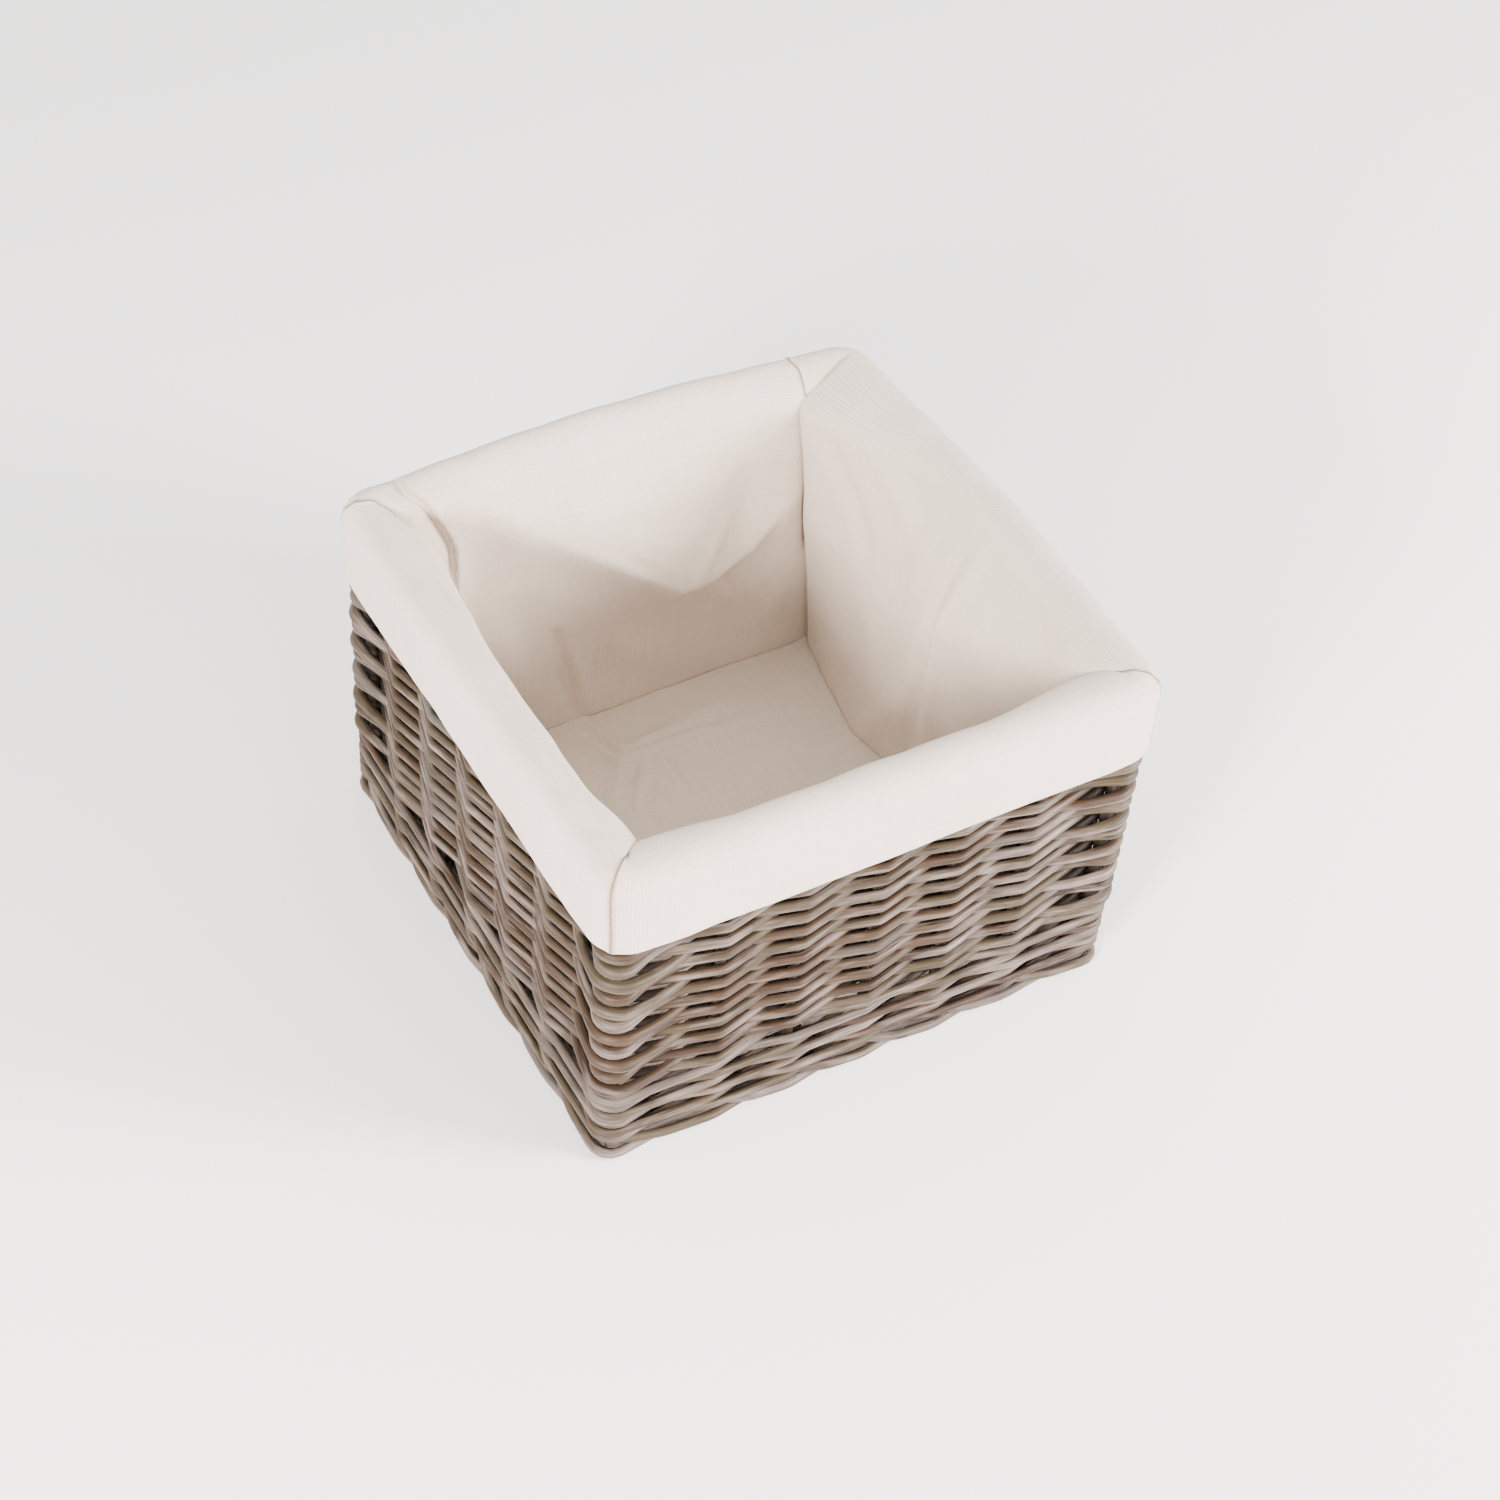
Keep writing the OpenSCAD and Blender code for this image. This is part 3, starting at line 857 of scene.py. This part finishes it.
# The pleat beside the back left corner: its distance from the corner at the rim, how much further
# it lies at its lower end, how far it stands out, and the length of cloth it runs down.
PLEAT_START, PLEAT_DRIFT, PLEAT_HEIGHT, PLEAT_LENGTH = 0.027, 0.019, 0.0050, 0.115


def corner_pleat(place):
    """How far the pleat beside the back left corner stands out, and 1 in the painted shadow line under it."""
    below_rim = LENGTH[:, None] - CREST
    line = PLEAT_START + PLEAT_DRIFT * soft_step(below_rim, 0, 0.06)
    beyond = START[BACK + 1] - place - line
    width = np.where(beyond > 0, 0.0014, 0.011)
    share = soft_step(below_rim, -0.016, 0.002) * (1 - soft_step(below_rim, 0.06, PLEAT_LENGTH))
    height = PLEAT_HEIGHT * share * np.exp(-(beyond / width) ** 2)
    return height, share * np.exp(-((beyond - 0.0022) / 0.0008) ** 2)


def grid_normals(points):
    down = np.gradient(points, axis=0)
    across = np.gradient(points, axis=1)
    normals = np.cross(down, across)
    return normals / np.maximum(np.linalg.norm(normals, axis=2), 1e-9)[..., None]


def thick_sheet(name, points, cloth, seam_shade, material, nodes):
    """A closed sheet of cloth round a grid of points."""
    rows, columns, _ = points.shape
    normals = grid_normals(points)
    faces_of = [points + normals * CLOTH / 2, points - normals * CLOTH / 2]
    verts = np.concatenate([side.reshape(-1, 3) for side in faces_of])
    i, j = np.meshgrid(np.arange(rows - 1), np.arange(columns - 1), indexing="ij")
    a = i * columns + j
    top = np.stack([a, a + columns, a + columns + 1, a + 1], -1).reshape(-1, 4)
    under = top[:, ::-1] + rows * columns
    edge = np.concatenate([
        np.arange(columns),
        np.arange(1, rows) * columns + columns - 1,
        (rows - 1) * columns + np.arange(columns - 2, -1, -1),
        np.arange(rows - 2, 0, -1) * columns,
    ])
    after = np.roll(edge, -1)
    sides = np.stack([edge, after, after + rows * columns, edge + rows * columns], -1)
    faces = np.concatenate([top, under, sides]).tolist()
    attributes = {"cloth": np.concatenate([cloth.reshape(-1, 3)] * 2), "seam_shade": np.tile(seam_shade.ravel(), 2)}
    piece = new_piece(name, "lining", verts, faces, attributes, material)
    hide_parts(*nodes)
    return piece


def make_lining(material):
    bottoms = []
    for side, name in enumerate(SIDES):
        start = START[side] + seam_shift(side, LENGTH)
        end = START[side + 1] + seam_shift((side + 1) % 4, LENGTH)
        width = (end - start)[:, None]
        fine = FINE_COLUMNS[None, :] / width
        middle_share = np.linspace(0, 1, COLUMNS)[None, 1:-1]
        gap = fine[:, -1:]
        share = np.concatenate([fine, gap + (1 - 2 * gap) * middle_share, 1 - fine[:, ::-1]], 1)
        place = start[:, None] + share * width
        points = cloth_points(place)

        to_seam = np.minimum(share, 1 - share) * width
        groove = np.exp(-(to_seam / 0.0016) ** 2)
        pleat, pleat_shadow = corner_pleat(place)
        pucker = 0.0004 * np.sin(LENGTH[:, None] / 0.0085 * 2 * math.pi) * np.exp(-to_seam / 0.005)
        inside_fold = 0.00045 * cloth_noise(61, place, LENGTH[:, None], 0.018, 0.022)
        points += grid_normals(points) * (pucker + inside_fold + pleat - SEAM_DEPTH * groove)[..., None]
        bottoms.append((place[-1], points[-1]))

        cloth = np.stack(np.broadcast_arrays(share * 2 * HALF[side], LENGTH[:, None], float(side)), -1)
        # Painted shade along the corner seams, and a painted shadow line under the pleat.
        seam_shade = np.maximum(np.exp(-(to_seam / 0.0009) ** 2), 0.5 * pleat_shadow)
        nodes = (f"lining_side_{name}", f"cuff_{name}", f"cuff_hem_{name}")
        panel = thick_sheet(f"lining_panel_{name}", points, cloth, seam_shade, material, nodes)
    make_floor_panel(material, bottoms)


# Soft creases in the floor panel, from one point to another, with their width and height.
# A crease below zero is a valley between two low ridges.
FLOOR_CREASES = (
    ((-0.028, 0.140), (-0.019, 0.097), 0.0035, -0.0090),
    ((-0.012, 0.101), (0.032, 0.104), 0.0035, -0.0080),
    ((0.032, 0.104), (0.067, 0.104), 0.0070, -0.0060),
    ((-0.013, 0.093), (-0.036, 0.060), 0.0050, -0.0110),
    ((-0.002, 0.091), (-0.026, 0.049), 0.0045, 0.0030),
    ((0.004, 0.093), (0.005, 0.051), 0.0050, -0.0060),
    ((-0.040, 0.030), (-0.090, -0.050), 0.0080, 0.0034),
    ((0.020, -0.020), (0.100, -0.090), 0.0090, 0.0022),
    ((-0.030, -0.120), (0.060, -0.060), 0.0080, 0.0020),
)


def make_floor_panel(material, bottoms):
    """The floor panel, stretched between the lower edges of the four side panels."""
    steps = np.linspace(0, 1, 150)
    edges = []
    for place, points in bottoms:
        share = (place - place[0]) / (place[-1] - place[0])
        edges.append(np.stack([np.interp(steps, share, points[:, k]) for k in range(3)], -1))
    front, right, back, left = edges
    back, left = back[::-1], left[::-1]
    u, v = steps[None, :, None], steps[:, None, None]
    points = (1 - v) * front[None] + v * back[None] + (1 - u) * left[:, None] + u * right[:, None]
    points -= (1 - v) * ((1 - u) * front[0] + u * front[-1]) + v * ((1 - u) * back[0] + u * back[-1])
    edge = np.minimum(np.minimum(u, 1 - u), np.minimum(v, 1 - v))[..., 0]
    x, y = points[..., 0], points[..., 1]
    height = 0.0008 * cloth_noise(71, x + y + 0.7, x - y + 0.4, 0.10, 0.035)
    height += 0.0006 * cloth_noise(72, x - 0.4 * y + 0.7, y + 0.4, 0.05, 0.05)
    for start, end, width, rise in FLOOR_CREASES:
        height += rise * segment_hill(x, y, start, end, width)
        if rise < 0:
            height -= rise * segment_hill(x, y, start, end, 2 * width)
    points[..., 2] = FLOOR_TOP - CLOTH / 2 + np.maximum(0.0012 + height, 0) * soft_step(edge, 0, 0.03)
    # Painted shade darkens the floor panel along its edge, where it meets the sides.
    seam_shade = 1 - soft_step(edge, 0.0, 0.004)
    cloth = np.stack([x, y, np.full_like(x, 4.0)], -1)
    floor = thick_sheet("lining_base", points[::-1], cloth[::-1], seam_shade[::-1], material, ("lining_floor",))


# ---- Camera, light and floor --------------------------------------------------------------------

CAMERA_AZIMUTH = math.radians(-32.84)
CAMERA_ELEVATION = math.radians(45.44)
CAMERA_ROLL = math.radians(4.99)
CAMERA_DISTANCE = 1.706
CAMERA_LENS, CAMERA_SHIFT = 68.24, 0.01275
LOOK_AT = Vector((0, 0, 0.105))


def make_camera():
    data = bpy.data.cameras.new("camera")
    data.sensor_width = 36
    data.lens = CAMERA_LENS
    data.shift_x = CAMERA_SHIFT
    camera = bpy.data.objects.new("camera", data)
    bpy.context.scene.collection.objects.link(camera)
    back = Vector((
        math.sin(CAMERA_AZIMUTH) * math.cos(CAMERA_ELEVATION),
        -math.cos(CAMERA_AZIMUTH) * math.cos(CAMERA_ELEVATION),
        math.sin(CAMERA_ELEVATION),
    ))
    camera.location = LOOK_AT + back * CAMERA_DISTANCE
    camera.rotation_euler = (back.to_track_quat("Z", "Y") @ Quaternion((0, 0, 1), CAMERA_ROLL)).to_euler()
    bpy.context.scene.camera = camera


def area_light(name, place, width, power, colour):
    data = bpy.data.lights.new(name, "AREA")
    data.size = width
    data.energy = power
    data.color = colour
    light = bpy.data.objects.new(name, data)
    light.location = place
    light.rotation_euler = (Vector(place) - LOOK_AT).to_track_quat("Z", "Y").to_euler()
    bpy.context.scene.collection.objects.link(light)


def make_studio():
    world = bpy.data.worlds.new("studio")
    world.use_nodes = True
    background = world.node_tree.nodes["Background"]
    background.inputs["Color"].default_value = (1.0, 0.985, 0.975, 1)
    background.inputs["Strength"].default_value = 1.8
    bpy.context.scene.world = world
    area_light("key", (1.70, -1.40, 0.95), 0.8, 210, (1.0, 0.91, 0.89))
    area_light("fill", (-1.85, -1.10, 1.05), 0.5, 155, (1.0, 0.91, 0.89))
    bpy.ops.mesh.primitive_plane_add(size=12)
    floor = bpy.context.active_object
    floor.name = "studio_floor"
    floor.data.materials.append(plain_floor_material())


make_camera()
make_studio()

willow = willow_material("washed_willow")
woven_band("weave", "willow_rod", willow, "woven_wall", WALE_TOP, WEAVE_TOP, WEAVE_ROWS,
           PLAIN_WEAVE, ROD_R, 0.0, 1000)
woven_band("wale", "willow_border", willow, "bottom_wale", FOOT_TOP, WALE_TOP, WALE_ROWS,
           THREE_ROD_WALE, WALE_ROD_R, 0.004, 2000)
make_foot(willow)
make_top_border(willow)
make_base(willow)
finish_sticks(willow_material("washed_willow_sticks", upright=True))
make_lining(cotton_material("natural_cotton"))
